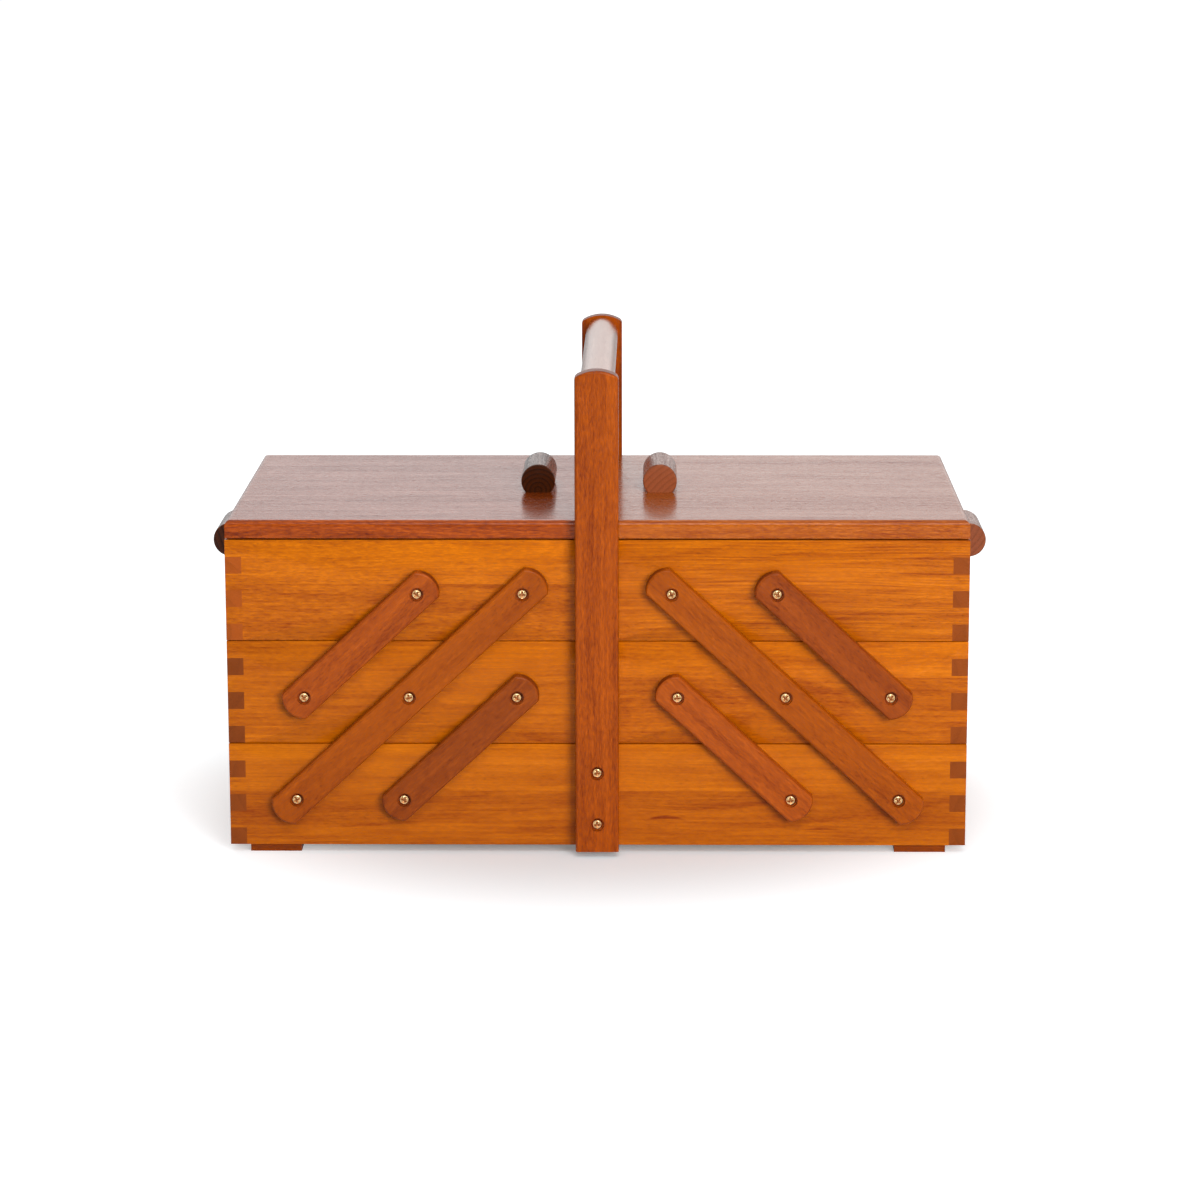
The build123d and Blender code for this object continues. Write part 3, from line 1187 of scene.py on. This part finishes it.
@dataclass
class Softbox:
    """A rectangular white lamp that faces a point. Its places and sizes are in metres."""

    name: str
    place: Point
    width: float
    height: float
    power: float
    mirrored: bool = True
    target: Point = (0.0, 0.0, 0.1)

    def build(self) -> None:
        """Hangs the lamp."""
        lamp = bpy.data.lights.new(self.name, "AREA")
        lamp.shape = "RECTANGLE"
        lamp.size = self.width
        lamp.size_y = self.height
        lamp.energy = self.power
        holder = new_object(self.name, lamp)
        holder.location = self.place
        holder.visible_glossy = self.mirrored
        towards = Vector(self.target) - Vector(self.place)
        holder.rotation_euler = towards.to_track_quat("-Z", "Y").to_euler()
        LOG.info("lamp: %s", self.name)


@dataclass
class Studio:
    """White floor, white surroundings, the lamps and the camera.

    The camera's place is in millimetres and its turn in degrees. The floor's distances are in metres.
    """

    camera_place: Point = (27.3, -1871.4, 503.1)
    camera_turn: Point = (78.044, 0.114, 0.809)
    lens: float = 112.64
    floor_size: float = 60.0
    floor_colour: Colour = (0.82, 0.88, 0.91)
    # Near the box the floor glows less, which paints shade round and under the box on top of its real shadow.
    painted_shade_near_glow: float = 0.18
    near_distance: float = 0.1
    open_glow: float = 0.72
    open_distance: float = 0.28
    far_glow: float = 0.8
    far_distance: float = 1.2
    floor_gleam: float = 0.15
    room_gleam: float = 0.35
    room_span: Span = (-0.9, -0.2)
    ambient: float = 0.27
    lamps: list[Softbox] = field(
        default_factory=lambda: [
            Softbox("key", (0.929, -2.039, 0.617), width=0.9, height=0.7, power=29.5, mirrored=False),
            Softbox("upper", (0.297, -1.683, 1.639), width=1.3, height=0.9, power=17.0),
            Softbox("back", (-0.5, 1.6, 1.7), width=1.2, height=0.8, power=10.0),
        ]
    )

    def build(self) -> None:
        """Sets up everything round the box."""
        self.build_floor()
        self.build_surroundings()
        for lamp in self.lamps:
            lamp.build()
        self.build_camera()
        bpy.context.scene.view_settings.view_transform = "Standard"

    def glow(self, g: Graph, seen: Any, gleam: Any, light: float) -> Wire:
        """How bright the surroundings are to each kind of ray.

        Args:
            g: The graph of the floor or of the world.
            seen: To the camera, also through glass, a number or a wire.
            gleam: In reflections, a number or a wire.
            light: As light that falls on the box.

        Returns:
            The strength.
        """
        kinds = ("Camera", "Transmission", "Glossy")
        camera, through, glossy = (g.add("ShaderNodeLightPath", output=f"Is {kind} Ray") for kind in kinds)
        direct = (camera + through).above(MIDDLE)
        return direct * seen + (1.0 - direct) * (glossy * gleam + (1.0 - glossy) * light)

    def build_floor(self) -> None:
        """Lays a white floor that keeps the box's shadow, and glows less near the box, which paints shade
        round and under it.
        """
        half = self.floor_size / 2
        mesh = bpy.data.meshes.new("floor")
        corners = [(-half, -half, 0), (half, -half, 0), (half, half, 0), (-half, half, 0)]
        mesh.from_pydata(corners, [], [(0, 1, 2, 3)])
        floor = new_object("floor", mesh)
        made, g = new_material("studio_floor")
        matt = g.add("ShaderNodeBsdfDiffuse", {}, {"Color": self.floor_colour})
        distance = g.length(g.add("ShaderNodeTexCoord", output="Object"))
        # The glow rises away from the box: weaker glow near it is painted shade, and the far rise evens out
        # the lamps' falloff.
        seen = distance.ramp(self.near_distance, self.open_distance, self.painted_shade_near_glow, self.open_glow)
        rise = self.far_glow - self.open_glow
        seen = seen + distance.ramp(self.open_distance, self.far_distance, 0.0, rise)
        strength = self.glow(g, seen, self.floor_gleam, 0.0)
        glow = g.add("ShaderNodeEmission", {}, {"Color": WHITE, "Strength": strength})
        g.add("ShaderNodeOutputMaterial", {}, [g.add("ShaderNodeAddShader", {}, [matt, glow])])
        set_material(floor, made)

    def build_surroundings(self) -> None:
        """Surrounds the box with white that looks darker in reflections of what is in front."""
        world = bpy.data.worlds.new("surroundings")
        bpy.context.scene.world = world
        world.use_nodes = True
        g = Graph(world.node_tree)
        _, backwards, _ = g.add("ShaderNodeTexCoord", output="Generated").parts()
        gleam = backwards.ramp(*self.room_span, self.room_gleam, 1.0)
        strength = self.glow(g, 1.0, gleam, self.ambient)
        glow = g.add("ShaderNodeBackground", {}, {"Color": WHITE, "Strength": strength})
        g.add("ShaderNodeOutputWorld", {}, [glow])

    def build_camera(self) -> None:
        """Places the camera where the photograph was taken from."""
        data = bpy.data.cameras.new("camera")
        data.lens = self.lens
        camera = new_object("camera", data)
        camera.location = Vector(self.camera_place) * MM
        camera.rotation_euler = [math.radians(angle) for angle in self.camera_turn]
        bpy.context.scene.camera = camera


def main() -> None:
    """Dresses the box and sets up the studio round it."""
    logging.basicConfig(level=logging.INFO)
    halves = ("outer_end", "inner_end")
    Tray(
        "base", seed=10, shade=0.84, end_shade=0.92, strip_edge=31.4, strip_tone=0.4, roughness=0.5,
        marks=(
            Mark(x=33.5, z=18.2, half_length=12.0, half_thickness=1.3, arch=2.2, depth=0.75),
            Mark(x=110.0, z=12.6, half_length=10.0, half_thickness=0.8, arch=1.0, depth=0.6),
        ),
    ).dress()
    Feet("feet", seed=24, shade=0.7).dress()
    Tray(
        "left_middle", seed=30, shade=0.87, roughness=0.6, ends=halves, divided=True, end_shade=0.8,
    ).dress()
    Tray(
        "right_middle", seed=50, shade=0.91, roughness=0.65, ends=halves, divided=True, strip_edge=88.4,
    ).dress()
    Tray(
        "left_top", seed=70, shade=0.9, roughness=0.85, ends=halves, divided=True, end_shade=1.45,
        strip_edge=134.6,
        marks=(Mark(x=-151.0, z=114.1, half_length=5.0, half_thickness=3.0, arch=0.0, depth=0.3),),
    ).dress()
    Tray(
        "right_top", seed=90, shade=0.88, roughness=0.85, ends=halves, divided=True,
        taper=0.22, heart=(24.0, -30.0), lines=1.6, rings=1.1,
    ).dress()
    Arms("left", seed=110, grain=Grain.LEFT_ARM, shades=(0.93, 0.75, 1.03)).dress()
    Arms("right", seed=130, grain=Grain.RIGHT_ARM, shades=(0.94, 1.03, 0.88)).dress()
    Handle("handle", seed=150, shade=0.96).dress()
    Lid("left", seed=170, shade=0.88, knob_end_shade=0.78).dress()
    Lid(
        "right", seed=180, shade=0.83, stain=Stain.PALE_LID, grip_stain=Stain.GRIP, grip_shade=0.95,
        knob_end_shade=0.95, pull_shade=0.8, knob_heart=(-26.0, -30.0), knob_rings=2.6,
    ).dress()
    Hinges().dress()
    Screws().build()
    Studio().build()


if __name__ == "__main__":
    main()
